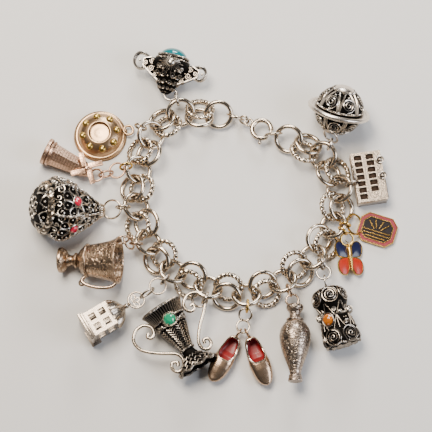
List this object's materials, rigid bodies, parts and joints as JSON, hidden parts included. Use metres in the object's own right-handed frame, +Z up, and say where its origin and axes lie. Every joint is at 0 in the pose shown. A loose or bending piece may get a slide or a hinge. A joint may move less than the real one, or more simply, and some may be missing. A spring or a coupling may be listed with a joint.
{
  "type": "charm bracelet",
  "caption": "Silver charm bracelet of linked plain and twisted rings with a spring-ring clasp, hung with filigree, building, vessel, shoe, butterfly and vehicle charms.",
  "frame": {"origin": "middle of the footprint on the surface that the bracelet lies on", "axes": "+Z up from the surface, +X across the loop towards the tag, +Y across the loop towards the clasp"},
  "size_m": [0.1174, 0.1106, 0.0176],
  "materials": {
    "silver": "polished, darkened in the hollows",
    "rose_silver": "satin, worn",
    "worn_silver": "satin, worn and tarnished",
    "bright_silver": "satin",
    "filigree_silver": "oxidised silver wire work, high points polished",
    "gold": "polished gold plate",
    "teal_glass": "polished cabochon",
    "red_glass": "polished stone",
    "green_glass": "polished stone",
    "amber_glass": "polished stone",
    "navy_enamel": "vitreous enamel",
    "red_enamel": "vitreous enamel"
  },
  "bodies": {
    "bracelet": {"plain_link_01": "silver", "twin_link_02": "silver", "plain_link_03": "silver", "twin_link_04": "silver", "plain_link_05": "silver", "twin_link_06": "silver", "plain_link_07": "silver", "twin_link_08": "silver", "plain_link_09": "silver", "twin_link_10": "silver", "plain_link_11": "silver", "twin_link_12": "silver", "plain_link_13": "silver", "twin_link_14": "silver", "plain_link_15": "silver", "twin_link_16": "silver", "plain_link_17": "silver", "twin_link_18": "silver", "plain_link_19": "silver", "twin_link_20": "silver", "plain_link_21": "silver", "twin_link_22": "silver", "plain_link_23": "silver", "twin_link_24": "silver", "plain_link_25": "silver", "twin_link_26": "silver", "plain_link_27": "silver", "twin_link_28": "silver", "plain_link_29": "silver", "spring_ring": "silver", "clasp_link_near": "silver", "clasp_link_far": "silver", "catch_ring": "silver", "teal_fob": "filigree_silver", "teal_cabochon": "teal_glass", "dome_charm": "silver", "dome_jump_ring": "silver", "windmill_tower": "rose_silver", "windmill_sails": "rose_silver", "windmill_jump_ring": "gold", "lantern": "filigree_silver", "lantern_stone_top": "red_glass", "lantern_stone_side": "red_glass", "lantern_jump_ring": "silver", "ewer": "worn_silver", "house": "bright_silver", "amphora": "filigree_silver", "amphora_stone": "green_glass", "clog_left": "rose_silver", "clog_right": "rose_silver", "clog_jump_ring": "gold", "clog_hanger": "silver", "vase": "worn_silver", "amber_fob": "filigree_silver", "amber_stone": "amber_glass", "butterfly": "navy_enamel", "tag": "red_enamel", "bus": "bright_silver", "ringed_ball": "filigree_silver"},
    "bolt": {"clasp_bolt": "silver"}
  },
  "joints": [
    {"name": "clasp_swing", "type": "hinge", "parent": "bracelet", "child": "bolt", "pos_m": [0.01531, 0.0283, 0.00357], "axis": [0, 0, -1], "range_deg": [0, 58], "stiffness_Nm_per_rad": 0.0005}
  ]
}
